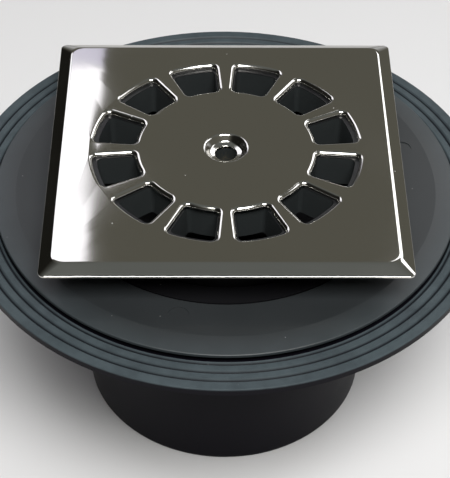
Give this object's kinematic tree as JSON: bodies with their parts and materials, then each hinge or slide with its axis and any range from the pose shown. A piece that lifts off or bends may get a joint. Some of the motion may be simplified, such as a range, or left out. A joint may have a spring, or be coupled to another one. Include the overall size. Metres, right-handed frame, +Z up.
{
  "type": "shower tray waste",
  "caption": "Shower floor waste with a square slotted steel grate on a sliding riser, a clamp ring, a ridged flange, a lift-out water trap and a side outlet.",
  "frame": {"origin": "centre of the flat underside of the waste body", "axes": "+Z up along the axis of the grate and flange, +Y along the outlet spigot, sides of the square grate along X and Y"},
  "size_m": [0.23, 0.23, 0.131],
  "materials": {
    "polished_steel": "polished",
    "black_plastic": "satin",
    "grey_plastic": "satin",
    "dark_grey_plastic": "satin",
    "trap_plastic": "satin",
    "seal_rubber": "matt",
    "brass": "turned"
  },
  "bodies": {
    "base": {"waste_body": "dark_grey_plastic", "trap_seat": "trap_plastic", "trap_funnel": "trap_plastic", "trap_o_ring": "seal_rubber", "trap_cup": "trap_plastic", "neck_gasket": "seal_rubber", "membrane_gasket": "seal_rubber", "clamp_ring": "grey_plastic"},
    "collar": {"swivel_collar": "black_plastic", "riser_seal": "seal_rubber", "collar_o_ring": "seal_rubber"},
    "riser": {"riser": "black_plastic", "grate_carrier": "black_plastic", "thread_insert": "brass", "grate_plate": "polished_steel"}
  },
  "joints": [
    {"name": "collar_turn", "type": "hinge", "parent": "base", "child": "collar", "pos_m": [0, 0, 0.105], "axis": [0, 0, 1], "continuous": true},
    {"name": "riser_slide", "type": "slide", "parent": "collar", "child": "riser", "axis": [0, 0, 1], "range_m": [-0.005, 0.02]}
  ]
}
